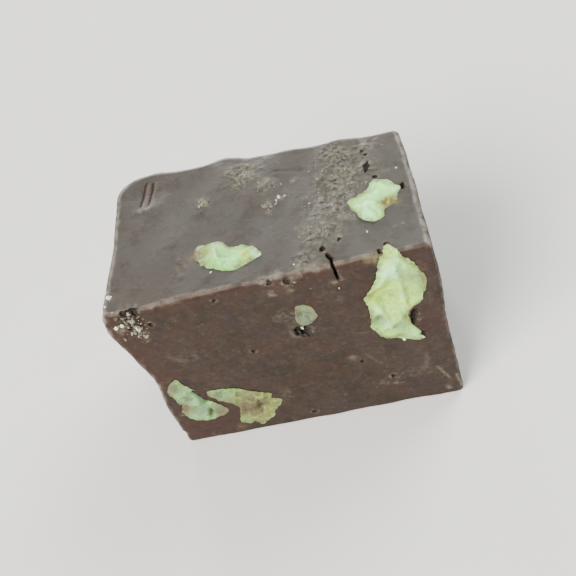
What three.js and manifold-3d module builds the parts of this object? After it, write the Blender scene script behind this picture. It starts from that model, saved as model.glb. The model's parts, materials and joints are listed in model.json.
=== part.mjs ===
// A chocolate walnut candy: one hand-cut block of firm chocolate, with chopped walnut kernels set through it
// and cut flush with its faces by the knife. Millimetres, +Z up, origin at the middle of the base.
import * as THREE from "three";
import { mergeVertices } from "three/addons/utils/BufferGeometryUtils.js";
import Module from "manifold-3d";

const wasm = await Module();
wasm.setup();

// Driving dimensions of the block
const WIDTH = 32; // left to right, along X
const DEPTH = 18.5; // front to back, along Y
const HEIGHT = 24.5; // along Z
const KNIFE_EDGE = 0.45; // how far a cut edge is rounded over
const CORNER_ROUND = 0.55; // radius of three of the upright corners, seen from above
const WORN_CORNER = { atBase: 1.6, atTop: 2.8 }; // radius of the upright corner at the back left
const SEGMENTS = { x: 24, y: 15, z: 19 }; // grid of the block's faces
const EDGE_CROWDING = 1.45; // how strongly the grid's lines crowd towards the block's edges
const FADE_POWER = 4; // how fast a face's unevenness dies away inside the block

// How the kernels sit in the block
const POCKET_GAP = 0.3; // between a kernel and the chocolate round it
const OUTSIDE = 2; // how far a kernel's blank stands out of the face before it is cut flush
const BLANK_STEPS = 3; // slices of a kernel's blank from its face to its buried end
const BURIED_END = 0.5; // size of the buried end, as a share of the face
const TAPER_POWER = 1.4; // above 1, the taper starts slowly behind the face

// Gentle waves that the knife leaves: height in mm, across and up in radians per mm, and lead in radians,
// which is counted once per face so that no two faces are alike
const WAVES = [
  { height: 0.06, across: 0.42, up: 0.31, lead: 1.7 },
  { height: 0.05, across: -0.35, up: 0.47, lead: 2.9 },
  { height: 0.03, across: 1.1, up: -0.7, lead: 4.1 },
];

// How far each corner of the hand-cut block lies from the true box's, as [x, y, z]
const CORNER_SHIFTS = [
  { corner: [-1, -1, 1], shift: [-0.44, -0.22, 0.0] },
  { corner: [1, -1, 1], shift: [0.34, 0.14, 0.14] },
  { corner: [1, 1, 1], shift: [-0.72, -0.48, -0.5] },
  { corner: [-1, 1, 1], shift: [0.2, 0.5, 0.48] },
  { corner: [-1, -1, 0], shift: [0.28, 0.0, 0] },
  { corner: [1, -1, 0], shift: [0.37, 0.16, 0] },
  { corner: [1, 1, 0], shift: [-0.2, -0.2, 0] },
  { corner: [-1, 1, 0], shift: [0.1, 0.2, 0] },
];

// The six faces. across and up are a face's own axes as it is seen from outside, and out points away from the block.
const FACES = {
  front: { across: [1, 0, 0], up: [0, 0, 1], out: [0, -1, 0], middle: [0, -DEPTH / 2, 0] },
  back: { across: [-1, 0, 0], up: [0, 0, 1], out: [0, 1, 0], middle: [0, DEPTH / 2, 0] },
  left: { across: [0, -1, 0], up: [0, 0, 1], out: [-1, 0, 0], middle: [-WIDTH / 2, 0, 0] },
  right: { across: [0, 1, 0], up: [0, 0, 1], out: [1, 0, 0], middle: [WIDTH / 2, 0, 0] },
  top: { across: [1, 0, 0], up: [0, 1, 0], out: [0, 0, 1], middle: [0, 0, HEIGHT] },
  base: { across: [1, 0, 0], up: [0, -1, 0], out: [0, 0, -1], middle: [0, 0, 0] },
};

// Swells and hollows of the faces, each at [across, up] on its face. height is outwards.
const SWELLS = [
  { face: "left", at: [9.2, 21.2], height: 0.55, spread: 2.6 },
  { face: "left", at: [9.2, 12.4], height: -0.6, spread: 3.4 },
  { face: "left", at: [-3, 6], height: 0.35, spread: 4 },
  { face: "back", at: [3.8, 23.6], height: 0.9, spread: 1.9 },
  { face: "back", at: [11.4, 23.8], height: 0.45, spread: 1.6 },
  { face: "back", at: [-9.5, 23.5], height: 0.35, spread: 1.8 },
  { face: "back", at: [-2, 9], height: -0.35, spread: 5 },
  { face: "right", at: [-2, 12], height: -0.4, spread: 4 },
  { face: "right", at: [4.5, 4], height: 0.35, spread: 3 },
  { face: "top", at: [-13, 6.8], height: -0.35, spread: 2.2 },
];

// Pits, empty nut sockets and bubbles: the half sizes [across, up, in] of the hole at [across, up]
const PITS = [
  { face: "front", at: [1.9, 16.2], half: [0.85, 0.7, 1.0] },
  { face: "front", at: [13.0, 13.2], half: [0.5, 1.9, 0.9] },
  { face: "front", at: [-13.6, 23.4], half: [1.5, 0.8, 1.1] },
  { face: "front", at: [-12.6, 22.0], half: [1.0, 0.6, 0.7] },
  { face: "front", at: [-14.9, 22.3], half: [0.8, 0.6, 0.7] },
  { face: "front", at: [10.4, 24.6], half: [0.45, 0.5, 0.7] },
  { face: "front", at: [0.9, 24.4], half: [0.5, 0.5, 0.5] },
  { face: "front", at: [2.7, 24.0], half: [0.4, 0.6, 0.5] },
  { face: "front", at: [-3.9, 14.5], half: [0.35, 0.35, 0.5] },
  { face: "top", at: [11.3, 3.9], half: [0.4, 0.9, 0.7] },
  { face: "top", at: [13.9, 0.6], half: [0.9, 0.4, 0.6] },
  { face: "back", at: [-8.6, 11.6], half: [1.5, 1.1, 1.3] },
  { face: "back", at: [12.6, 18.4], half: [0.6, 0.9, 0.8] },
  { face: "left", at: [-5.5, 12.6], half: [0.5, 1.3, 0.8] },
  { face: "right", at: [5.8, 20.6], half: [0.9, 0.6, 0.9] },
];
const PIT_SIDES = 8;
const PIT_RINGS = 6;

// Cracks: a thin slot of the given length, width and depth across a face, turned in degrees from across
const CRACKS = [
  { face: "top", at: [6.5, -8.2], length: 3.6, width: 0.45, depth: 1.9, turn: 110 },
  { face: "right", at: [-4.6, 11.5], length: 6.5, width: 0.6, depth: 1.4, turn: 84 },
  { face: "back", at: [7.4, 6.4], length: 3.2, width: 0.45, depth: 1.1, turn: 62 },
];
const CRACK_SIDES = 10;
const CRACK_FLOOR = 0.67; // length of a crack's floor, as a share of its length at the face

// The kernels of the front and the top, by the outline that the knife left: [across, up] on the face
const DRAWN_KERNELS = [
  {
    name: "walnut_front_large",
    face: "front",
    depth: 3.4,
    color: 0xc0d1a5,
    outline: [
      [12.4, 25.4], [11.1, 24.2], [10.8, 22.8], [10.1, 21.2], [8.8, 18.9], [8.9, 16.8], [8.6, 14.3],
      [9.6, 12.5], [11.6, 11.3], [13.2, 10.9], [12.9, 12.6], [12.4, 14.6], [13.1, 16.2], [14.1, 16.7],
      [14.7, 18.4], [15.2, 20.0], [14.5, 22.2], [13.4, 24.3],
    ],
  },
  {
    name: "walnut_front_small",
    face: "front",
    depth: 1.8,
    color: 0x96a28c,
    outline: [[2.1, 20.0], [1.7, 18.2], [2.1, 17.1], [2.9, 17.0], [3.7, 18.1], [3.4, 19.6], [2.8, 20.1]],
  },
  {
    name: "walnut_front_left",
    face: "front",
    depth: 3.2,
    color: 0x98a388,
    outline: [
      [-14.6, 10.4], [-13.8, 8.6], [-14.4, 6.4], [-13.4, 4.4], [-11.7, 4.0], [-9.9, 4.2], [-9.3, 5.0],
      [-10.3, 6.5], [-11.1, 7.8], [-11.8, 9.2], [-12.3, 11.1], [-13.2, 12.3], [-14.0, 11.8],
    ],
  },
  {
    name: "walnut_front_low",
    face: "front",
    depth: 3.2,
    color: 0x948f61,
    outline: [
      [-10.6, 9.3], [-9.8, 7.2], [-8.6, 6.3], [-8.1, 5.3], [-8.3, 3.9], [-8.8, 2.3], [-6.6, 0.9],
      [-5.2, 2.0], [-3.9, 3.8], [-3.1, 5.0], [-4.6, 7.0], [-6.9, 8.3], [-8.8, 9.3],
    ],
  },
  {
    name: "walnut_top_left",
    face: "top",
    depth: 3.0,
    color: 0xc0d8b0,
    outline: [
      [-7.0, -4.1], [-6.2, -5.5], [-5.1, -6.1], [-3.3, -7.0], [-1.6, -6.5], [-0.1, -5.8], [-0.4, -4.8],
      [-2.0, -4.0], [-3.2, -3.9], [-4.1, -3.1], [-5.3, -2.8], [-6.4, -3.0],
    ],
  },
  {
    name: "walnut_top_right",
    face: "top",
    depth: 3.2,
    color: 0xcde3be,
    outline: [
      [8.9, -1.1], [9.5, -2.4], [10.3, -4.0], [11.4, -4.6], [12.4, -4.2], [12.7, -2.8], [13.7, -1.8],
      [14.3, -0.3], [13.1, 1.0], [11.9, 1.6], [10.9, 0.8], [10.0, -0.5],
    ],
  },
];

// The kernels of the faces that are turned away, by their place, size and turn in degrees
const HIDDEN_KERNELS = [
  { name: "walnut_left_upper", face: "left", at: [1.4, 18.4], long: 7.2, wide: 3.6, turn: 28, depth: 3.2 },
  { name: "walnut_left_lower", face: "left", at: [-4.2, 8.4], long: 5.4, wide: 3.4, turn: -52, depth: 3.0 },
  { name: "walnut_left_small", face: "left", at: [3.2, 4.4], long: 3.0, wide: 2.2, turn: 12, depth: 2.0 },
  { name: "walnut_left_back", face: "left", at: [-6.0, 19.0], long: 3.6, wide: 2.2, turn: 70, depth: 2.2 },
  { name: "walnut_right_large", face: "right", at: [1.6, 7.6], long: 9.0, wide: 4.2, turn: 58, depth: 3.4 },
  { name: "walnut_right_upper", face: "right", at: [-1.4, 17.8], long: 4.2, wide: 2.8, turn: -24, depth: 2.2 },
  { name: "walnut_right_low", face: "right", at: [-5.4, 3.0], long: 3.2, wide: 2.0, turn: 8, depth: 2.0 },
  { name: "walnut_right_back", face: "right", at: [6.2, 15.2], long: 3.6, wide: 2.4, turn: 64, depth: 2.2 },
  { name: "walnut_back_large", face: "back", at: [6.8, 14.6], long: 8.8, wide: 4.8, turn: -42, depth: 3.6 },
  { name: "walnut_back_long", face: "back", at: [-4.8, 18.0], long: 7.6, wide: 2.8, turn: 12, depth: 3.0 },
  { name: "walnut_back_middle", face: "back", at: [-2.0, 8.0], long: 5.2, wide: 3.8, turn: 74, depth: 3.2 },
  { name: "walnut_back_corner", face: "back", at: [11.4, 5.0], long: 4.6, wide: 2.8, turn: 34, depth: 2.8 },
  { name: "walnut_back_low", face: "back", at: [-11.0, 5.6], long: 5.8, wide: 3.2, turn: -22, depth: 2.8 },
  { name: "walnut_back_upper", face: "back", at: [-12.2, 19.8], long: 3.0, wide: 2.0, turn: -60, depth: 2.0 },
  { name: "walnut_back_tip", face: "back", at: [1.6, 21.2], long: 2.8, wide: 1.8, turn: 20, depth: 2.0 },
  { name: "walnut_base_large", face: "base", at: [6.4, -1.6], long: 8.2, wide: 4.4, turn: 16, depth: 3.2 },
  { name: "walnut_base_round", face: "base", at: [-6.4, -3.4], long: 5.0, wide: 4.0, turn: 48, depth: 3.0 },
  { name: "walnut_base_small", face: "base", at: [-1.4, 4.8], long: 3.4, wide: 2.2, turn: -18, depth: 2.2 },
  { name: "walnut_base_right", face: "base", at: [11.8, 4.0], long: 3.8, wide: 2.6, turn: 66, depth: 2.4 },
];
const SEED = 27;
const OUTLINE_POINTS = 12; // corners of a hidden kernel's outline
const OUTLINE_UNEVEN = 0.16; // how far a corner may lie in or out of the oval, as a share of its radius
const NOTCH = 0.7; // the one corner between two lobes, as a share of the oval's radius

const CHOCOLATE = { color: 0x5b4a40, roughness: 0.5 };
const WALNUT = { color: 0xb9c79f, roughness: 0.6 };

// Repeatable random numbers from 0 to 1, by a linear congruential generator
function randomFrom(seed) {
  let state = seed;
  return () => {
    state = (state * 1664525 + 1013904223) >>> 0;
    return state / 2 ** 32;
  };
}

// A closed geometry as a solid that can be joined and cut
function solidOf(geometry) {
  const bare = geometry.clone();
  bare.deleteAttribute("normal");
  bare.deleteAttribute("uv");
  const merged = mergeVertices(bare);
  return new wasm.Manifold(
    new wasm.Mesh({
      numProp: 3,
      vertProperties: merged.attributes.position.array,
      triVerts: new Uint32Array(merged.index.array),
    }),
  );
}

function geometryOf(solid) {
  const mesh = solid.getMesh();
  return new THREE.BufferGeometry()
    .setAttribute("position", new THREE.BufferAttribute(new Float32Array(mesh.vertProperties), 3))
    .setIndex(new THREE.BufferAttribute(new Uint32Array(mesh.triVerts), 1));
}

// From a face's own [across, up, out] to the block's frame
function faceMatrix(faceName) {
  const { across, up, out, middle } = FACES[faceName];
  const axes = [across, up, out].map((axis) => new THREE.Vector3(...axis));
  return new THREE.Matrix4().makeBasis(...axes).setPosition(...middle);
}

// Moves grid lines towards the block's edges, where the shape turns: share runs from -1 to 1
function towardsEdge(share) {
  return Math.sign(share) * (1 - (1 - Math.abs(share)) ** EDGE_CROWDING);
}

// Rounds the upright corners, seen from above
function roundCorners(point) {
  const worn = THREE.MathUtils.lerp(WORN_CORNER.atBase, WORN_CORNER.atTop, point.z / HEIGHT);
  const radius = point.x < 0 && point.y > 0 ? worn : CORNER_ROUND;
  const pastX = Math.abs(point.x) - (WIDTH / 2 - radius);
  const pastY = Math.abs(point.y) - (DEPTH / 2 - radius);
  if (pastX <= 0 || pastY <= 0) return;
  const shrink = Math.max(pastX, pastY) / Math.hypot(pastX, pastY);
  point.x = Math.sign(point.x) * (WIDTH / 2 - radius + pastX * shrink);
  point.y = Math.sign(point.y) * (DEPTH / 2 - radius + pastY * shrink);
}

// Draws the sides in where they turn over into the top and the base
function roundRims(point) {
  const past = Math.max(0, KNIFE_EDGE - Math.min(point.z, HEIGHT - point.z));
  const inset = KNIFE_EDGE - Math.sqrt(KNIFE_EDGE ** 2 - past ** 2);
  point.x *= 1 - inset / (WIDTH / 2);
  point.y *= 1 - inset / (DEPTH / 2);
}

// The skew of a block that was cut by eye, blended between its eight corners
function skew(point) {
  const share = [(2 * point.x) / WIDTH, (2 * point.y) / DEPTH, point.z / HEIGHT];
  const moved = new THREE.Vector3();
  for (const { corner, shift } of CORNER_SHIFTS) {
    const alongX = (1 + corner[0] * share[0]) / 2;
    const alongY = (1 + corner[1] * share[1]) / 2;
    const alongZ = corner[2] ? share[2] : 1 - share[2];
    moved.addScaledVector(new THREE.Vector3(...shift), alongX * alongY * alongZ);
  }
  return moved;
}

// How far a face stands out at [across, up]: gentle waves, and its own swells and hollows
function relief(faceName, across, up) {
  const faceNumber = Object.keys(FACES).indexOf(faceName);
  let height = 0;
  for (const wave of WAVES) {
    height += wave.height * Math.sin(wave.across * across + wave.up * up + wave.lead * faceNumber);
  }
  for (const swell of SWELLS) {
    if (swell.face !== faceName) continue;
    const away = Math.hypot(across - swell.at[0], up - swell.at[1]) / swell.spread;
    height += swell.height * Math.exp(-(away ** 2));
  }
  return height;
}

// The unevenness of all faces but the flat base, each fading out through the block
function unevenness(point) {
  const moved = new THREE.Vector3();
  for (const [faceName, { across, up, out, middle }] of Object.entries(FACES)) {
    if (faceName === "base") continue;
    const outwards = new THREE.Vector3(...out);
    const behindFace = new THREE.Vector3(...middle).sub(point).dot(outwards);
    const thickness = Math.abs(outwards.dot(new THREE.Vector3(WIDTH, DEPTH, HEIGHT)));
    const fade = Math.max(0, 1 - behindFace / thickness) ** FADE_POWER;
    const place = [across, up].map((axis) => point.dot(new THREE.Vector3(...axis)));
    moved.addScaledVector(outwards, fade * relief(faceName, ...place));
  }
  moved.z *= point.z / HEIGHT;
  return moved;
}

// The whole block before anything is cut into it
function makeBlock() {
  const geometry = new THREE.BoxGeometry(2, 2, 2, SEGMENTS.x, SEGMENTS.y, SEGMENTS.z);
  const places = geometry.attributes.position;
  for (let i = 0; i < places.count; i++) {
    const point = new THREE.Vector3().fromBufferAttribute(places, i);
    point.set(...point.toArray().map(towardsEdge));
    point.multiply(new THREE.Vector3(WIDTH / 2, DEPTH / 2, HEIGHT / 2));
    point.z += HEIGHT / 2;
    roundCorners(point);
    roundRims(point);
    point.add(unevenness(point)).add(skew(point));
    places.setXYZ(i, ...point.toArray());
  }
  return solidOf(geometry);
}

// The outline of a hidden kernel: an uneven oval with one notch between its lobes
function unevenOutline({ at, long, wide, turn }, random) {
  const notch = Math.floor(random() * OUTLINE_POINTS);
  const outline = [];
  for (let i = 0; i < OUTLINE_POINTS; i++) {
    const angle = (2 * Math.PI * (i + 0.5 * (random() - 0.5))) / OUTLINE_POINTS;
    const size = i === notch ? NOTCH : 1 + OUTLINE_UNEVEN * (2 * random() - 1);
    const corner = new THREE.Vector2((long / 2) * size * Math.cos(angle), (wide / 2) * size * Math.sin(angle));
    corner.rotateAround(new THREE.Vector2(), THREE.MathUtils.degToRad(turn));
    outline.push([at[0] + corner.x, at[1] + corner.y]);
  }
  return outline;
}

// A kernel's blank: its outline pushed into the face, smaller towards the buried end. grown widens it all round.
function makeBlank({ face, outline, depth }, grown) {
  const corners = outline.map((corner) => new THREE.Vector2(...corner));
  const middle = corners.reduce((sum, corner) => sum.add(corner), new THREE.Vector2());
  middle.divideScalar(corners.length);
  const geometry = new THREE.ExtrudeGeometry(new THREE.Shape(corners), {
    depth: depth + OUTSIDE,
    steps: BLANK_STEPS,
    bevelEnabled: grown > 0,
    bevelThickness: grown,
    bevelSize: grown,
    bevelSegments: 1,
  });
  geometry.translate(0, 0, -depth);
  const places = geometry.attributes.position;
  for (let i = 0; i < places.count; i++) {
    const buried = Math.max(0, -places.getZ(i) / depth);
    const size = 1 - (1 - BURIED_END) * buried ** TAPER_POWER;
    const across = middle.x + (places.getX(i) - middle.x) * size;
    const up = middle.y + (places.getY(i) - middle.y) * size;
    places.setXY(i, across, up);
  }
  return solidOf(geometry.applyMatrix4(faceMatrix(face)));
}

function makePit({ face, at, half }) {
  const geometry = new THREE.SphereGeometry(1, PIT_SIDES, PIT_RINGS);
  geometry.rotateX(Math.PI / 2).scale(...half).translate(...at, 0);
  return solidOf(geometry.applyMatrix4(faceMatrix(face)));
}

function makeCrack({ face, at, length, width, depth, turn }) {
  const radius = length / 2;
  const geometry = new THREE.CylinderGeometry(radius, radius * CRACK_FLOOR, 2 * depth, CRACK_SIDES);
  geometry.rotateX(Math.PI / 2).scale(1, width / length, 1);
  geometry.rotateZ(THREE.MathUtils.degToRad(turn)).translate(...at, 0);
  return solidOf(geometry.applyMatrix4(faceMatrix(face)));
}

const candy = new THREE.Group();
function addPiece(name, solid, color, roughness) {
  const piece = new THREE.Mesh(geometryOf(solid), new THREE.MeshStandardMaterial({ color, roughness, metalness: 0 }));
  piece.name = name;
  candy.add(piece);
}

const random = randomFrom(SEED);
const hiddenKernels = HIDDEN_KERNELS.map((kernel) => ({
  ...kernel,
  color: WALNUT.color,
  outline: unevenOutline(kernel, random),
}));

const block = makeBlock();
let chocolate = block;
for (const kernel of [...DRAWN_KERNELS, ...hiddenKernels]) {
  addPiece(kernel.name, makeBlank(kernel, 0).intersect(block), kernel.color, WALNUT.roughness);
  chocolate = chocolate.subtract(makeBlank(kernel, POCKET_GAP));
}
for (const hollow of [...PITS.map(makePit), ...CRACKS.map(makeCrack)]) {
  chocolate = chocolate.subtract(hollow);
}
addPiece("chocolate", chocolate, CHOCOLATE.color, CHOCOLATE.roughness);

// The origin is the middle of the base, under the whole block
const reach = new THREE.Box3().setFromObject(candy);
for (const piece of candy.children) {
  piece.position.set(-(reach.min.x + reach.max.x) / 2, -(reach.min.y + reach.max.y) / 2, -reach.min.z);
}

export default candy;
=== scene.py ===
"""A chocolate walnut candy: one hand-cut block of firm chocolate with chopped walnut kernels set through it.
Metres, +Z up, origin at the middle of the base. Sizes are given in millimetres and turned to metres by MM."""
import json
import math
import random

import bmesh
import bpy
import numpy as np
from mathutils import Matrix, Quaternion, Vector, noise
from mathutils.bvhtree import BVHTree

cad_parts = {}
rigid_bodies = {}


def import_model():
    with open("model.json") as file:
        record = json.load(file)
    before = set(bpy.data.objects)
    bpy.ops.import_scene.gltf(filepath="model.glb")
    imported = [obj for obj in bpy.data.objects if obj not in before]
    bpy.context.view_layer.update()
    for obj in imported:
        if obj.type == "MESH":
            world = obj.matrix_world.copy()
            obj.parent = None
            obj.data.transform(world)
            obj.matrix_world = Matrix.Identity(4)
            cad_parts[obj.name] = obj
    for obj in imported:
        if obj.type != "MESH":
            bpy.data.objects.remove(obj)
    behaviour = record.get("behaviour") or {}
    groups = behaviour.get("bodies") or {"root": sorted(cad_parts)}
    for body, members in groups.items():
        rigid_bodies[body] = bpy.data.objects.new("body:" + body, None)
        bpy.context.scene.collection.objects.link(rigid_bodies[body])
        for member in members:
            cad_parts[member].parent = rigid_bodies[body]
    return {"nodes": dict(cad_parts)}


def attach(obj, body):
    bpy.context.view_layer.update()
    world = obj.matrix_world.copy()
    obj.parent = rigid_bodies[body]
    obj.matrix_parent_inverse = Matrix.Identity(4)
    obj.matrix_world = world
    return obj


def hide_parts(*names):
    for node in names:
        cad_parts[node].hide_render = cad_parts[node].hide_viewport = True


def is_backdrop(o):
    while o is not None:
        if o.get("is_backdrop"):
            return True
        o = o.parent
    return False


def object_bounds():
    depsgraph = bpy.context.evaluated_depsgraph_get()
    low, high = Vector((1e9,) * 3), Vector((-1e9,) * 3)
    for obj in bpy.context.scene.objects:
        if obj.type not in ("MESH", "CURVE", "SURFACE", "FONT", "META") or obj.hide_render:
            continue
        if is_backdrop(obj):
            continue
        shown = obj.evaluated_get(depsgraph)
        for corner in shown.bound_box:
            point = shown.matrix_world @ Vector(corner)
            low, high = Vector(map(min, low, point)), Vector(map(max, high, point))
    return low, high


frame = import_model()
cad_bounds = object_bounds()

# The form of the block
# A slab of chocolate candy about an inch thick is left to set, then cut by eye with a long knife. The cuts
# are nearly flat, a little skew, and rounded over where the knife leaves them. One upright corner is worn.
MM = 0.001
WIDTH = 32.0
DEPTH = 18.5
HEIGHT = 24.5
KNIFE_EDGE = 0.45  # radius where the sides turn over into the top and the base
CORNER_ROUND = 0.55  # radius of the upright corners, apart from the worn one at the back left
WORN_CORNER_AT_BASE = 1.6  # its radius at the base, which grows towards the top
WORN_CORNER_AT_TOP = 2.8
FADE_POWER = 4  # how fast the unevenness of a face fades out through the block
GRID_CUTS = (141, 83, 109)  # a vertex about every 0.22 mm
EDGE_CROWDING = 1.15  # above 1, the grid is finer along the block's edges

# Name: across, up and out as seen from outside, and where places on the face are measured from
FACES = {
    "front": ((1, 0, 0), (0, 0, 1), (0, -1, 0), (0, -DEPTH / 2, 0)),
    "back": ((-1, 0, 0), (0, 0, 1), (0, 1, 0), (0, DEPTH / 2, 0)),
    "left": ((0, -1, 0), (0, 0, 1), (-1, 0, 0), (-WIDTH / 2, 0, 0)),
    "right": ((0, 1, 0), (0, 0, 1), (1, 0, 0), (WIDTH / 2, 0, 0)),
    "top": ((1, 0, 0), (0, 1, 0), (0, 0, 1), (0, 0, HEIGHT)),
    "base": ((1, 0, 0), (0, -1, 0), (0, 0, -1), (0, 0, 0)),
}
# Height, radians per mm across and up, and radians of lead for each face
WAVES = ((0.06, 0.42, 0.31, 1.7), (0.05, -0.35, 0.47, 2.9), (0.03, 1.1, -0.7, 4.1))
# Corner of the box, and how far the real corner lies from it to the right, the back and up
CORNER_SHIFTS = (
    ((-1, -1, 1), (-0.44, -0.22, 0.0)),
    ((1, -1, 1), (0.34, 0.14, 0.14)),
    ((1, 1, 1), (-0.72, -0.48, -0.5)),
    ((-1, 1, 1), (0.2, 0.5, 0.48)),
    ((-1, -1, 0), (0.28, 0.0, 0.0)),
    ((1, -1, 0), (0.37, 0.16, 0.0)),
    ((1, 1, 0), (-0.2, -0.2, 0.0)),
    ((-1, 1, 0), (0.1, 0.2, 0.0)),
)
# Face, place across and up, height outwards and spread
SWELLS = (
    ("left", (9.2, 21.2), 0.55, 2.6),
    ("left", (9.2, 12.4), -0.6, 3.4),
    ("left", (-3, 6), 0.35, 4),
    ("back", (3.8, 23.6), 0.9, 1.9),
    ("back", (11.4, 23.8), 0.45, 1.6),
    ("back", (-9.5, 23.5), 0.35, 1.8),
    ("back", (-2, 9), -0.35, 5),
    ("right", (-2, 12), -0.4, 4),
    ("right", (4.5, 4), 0.35, 3),
    ("top", (-13, 6.8), -0.35, 2.2),
)


def round_corners(points):
    """Rounds the upright corners, seen from above."""
    worn = WORN_CORNER_AT_BASE + (WORN_CORNER_AT_TOP - WORN_CORNER_AT_BASE) * points[:, 2] / HEIGHT
    back_left = (points[:, 0] < 0) & (points[:, 1] > 0)
    radius = np.where(back_left, worn, CORNER_ROUND)
    straight = np.array([WIDTH, DEPTH]) / 2 - radius[:, None]
    past = np.abs(points[:, :2]) - straight
    turned = (past > 0).all(axis=1)
    shrink = past[turned].max(axis=1) / np.hypot(*past[turned].T)
    points[turned, :2] = np.sign(points[turned, :2]) * (straight[turned] + past[turned] * shrink[:, None])


def round_rims(points):
    """Draws the sides in where they turn over into the top and the base."""
    past = np.maximum(0, KNIFE_EDGE - np.minimum(points[:, 2], HEIGHT - points[:, 2]))
    inset = KNIFE_EDGE - np.sqrt(KNIFE_EDGE**2 - past**2)
    points[:, 0] *= 1 - inset / (WIDTH / 2)
    points[:, 1] *= 1 - inset / (DEPTH / 2)


def depth_under(name, points):
    """How deep points lie under the plane of a face."""
    out, origin = (np.array(axis, float) for axis in FACES[name][2:])
    return (origin - points) @ out


def face_height(name, across, up):
    """How far a face stands out: gentle waves, and its own swells and hollows."""
    number = list(FACES).index(name)
    height = np.zeros_like(across)
    for wave, per_across, per_up, lead in WAVES:
        height += wave * np.sin(per_across * across + per_up * up + lead * number)
    for face, at, swell, spread in SWELLS:
        if face == name:
            height += swell * np.exp(-(np.hypot(across - at[0], up - at[1]) / spread) ** 2)
    return height


def unevenness(points):
    """The unevenness of all faces but the flat base, each fading out through the block."""
    moved = np.zeros_like(points)
    for name, axes in FACES.items():
        across, up, out = (np.array(axis, float) for axis in axes[:3])
        if name != "base":
            thickness = abs(out @ np.array([WIDTH, DEPTH, HEIGHT]))
            fade = np.maximum(0, 1 - depth_under(name, points) / thickness) ** FADE_POWER
            moved += np.outer(fade * face_height(name, points @ across, points @ up), out)
    moved[:, 2] *= points[:, 2] / HEIGHT
    return moved


def skew(points):
    """The skew of a block cut by eye, blended between its eight corners."""
    share = points * np.array([2 / WIDTH, 2 / DEPTH, 1 / HEIGHT])
    moved = np.zeros_like(points)
    for corner, shift in CORNER_SHIFTS:
        along_z = share[:, 2] if corner[2] else 1 - share[:, 2]
        weight = (1 + corner[0] * share[:, 0]) / 2 * (1 + corner[1] * share[:, 1]) / 2 * along_z
        moved += np.outer(weight, shift)
    return moved


def coordinates(mesh, kind="co"):
    """The places, or with kind "normal" the normals, of a mesh's vertices as an array of rows."""
    numbers = np.empty(len(mesh.vertices) * 3, np.float32)
    mesh.vertices.foreach_get(kind, numbers)
    return numbers.reshape(-1, 3).astype(float)


def set_coordinates(mesh, points):
    mesh.vertices.foreach_set("co", points.astype(np.float32).ravel())
    mesh.update()


# A cube from -1 to 1, with its faces cut into a fine grid along one axis after the other
grid = bmesh.new()
bmesh.ops.create_cube(grid, size=2)
for axis, cuts in enumerate(GRID_CUTS):
    long_edges = [e for e in grid.edges if abs(e.verts[0].co[axis] - e.verts[1].co[axis]) > 1]
    bmesh.ops.subdivide_edges(grid, edges=long_edges, cuts=cuts, use_grid_fill=True)
block_mesh = bpy.data.meshes.new("chocolate_block")
grid.to_mesh(block_mesh)
grid.free()

# flat holds the vertices of a block with flat faces, and form those of the block as it was cut
shares = coordinates(block_mesh)
shares = np.sign(shares) * (1 - (1 - np.abs(shares)) ** EDGE_CROWDING)
flat = shares * np.array([WIDTH, DEPTH, HEIGHT]) / 2 + np.array([0, 0, HEIGHT / 2])
form = flat.copy()
round_corners(form)
round_rims(form)
form = form + unevenness(form)
form = form + skew(form)
CENTRING = -(form.min(axis=0) + form.max(axis=0)) / 2
CENTRING[2] = -form[:, 2].min()
form = form + CENTRING
set_coordinates(block_mesh, form * MM)

# The walnut kernels
# Chopped walnut kernels, cut through with the block. The flesh is pale and waxy, in broad facets where it
# broke, with a few creases between its lobes. Scraps of ochre skin are left, and chocolate is smeared over
# some rims.
KERNEL_NAMES = sorted(name for name in frame["nodes"] if name.startswith("walnut_"))
MERGED = 0.002  # corners of a kernel's facets that are this near to each other are one
ON_FACE = 0.15  # a kernel's facet this near to the block's face is part of its cut face
SAME_WAY = 0.7  # and it has to look the same way, as the cosine of the angle between them
PAST_FACE = 0.9  # a cut face is first pushed out this far, so that the walls run through the block's face
FILL = 0.14  # how much a kernel swells to meet the chocolate round it
VOXEL = 0.13  # a kernel's facets are made one even mesh, this fine
FACE_ENDS = (0.4, 1.4)  # under this much chocolate, what lies on a face starts to fade, and is gone
FACET = 2.6  # width of a facet
FACET_WARP = 0.3  # how far the folds between facets wander, as a share of that
FACET_BLEND = 0.35  # and how far beside a fold two facets blend
FACET_LEADS = (61.0, 67.0, 71.0)
FACET_SEED = 2  # without a seed, noise_vector would tilt the facets in another way in each run
SLOPE = 0.5  # about the steepest tilt of a facet, as rise over run
CREASE_DEPTH = 0.12  # of the creases along some of the folds
CREASE_WIDTH = 0.09  # as a share of a facet's width
STEEPEST = 0.8  # how fast a cut face may fall away from its rim, as rise over run
PROUD = 0.07  # how far a kernel's rim stands out of the chocolate
CREASED = (0.05, 0.3)  # the noise where creases start, and are as deep as they get
BY_RIM = (0.05, 0.7)  # nearer to its rim than this a cut face is flat, and farther off it has its full relief
BY_EDGE = (0.2, 1.2)  # and the same by an edge of the block
RIM = 0.3  # width of a kernel's darker rim
PAINTED_SHADE_DEPTHS = (0.0, 0.35)  # this far under the block's face a cut face starts to take painted shade, and takes it fully
PAINTED_HIGHLIGHT_HEIGHTS = (0.15, 0.45)  # and this far over it, a painted highlight starts, and is full
SMEAR_DEPTH = 0.5  # how far a kernel lies under the chocolate that is smeared over it
SMEAR_WOBBLE = 0.15  # how uneven a smear's outline is
SMEAR_EDGE = (-0.1, 0.15)  # and where it starts and is full, from that outline inwards
# Height, width and lead of the lumps of a kernel's walls and of its cut face
WALL_LUMPS = ((0.24, 1.3, 83.0), (0.18, 0.5, 89.0))
CUT_FACE_LUMPS = ((0.2, 1.3, 73.0), (0.1, 0.45, 79.0))
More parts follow.
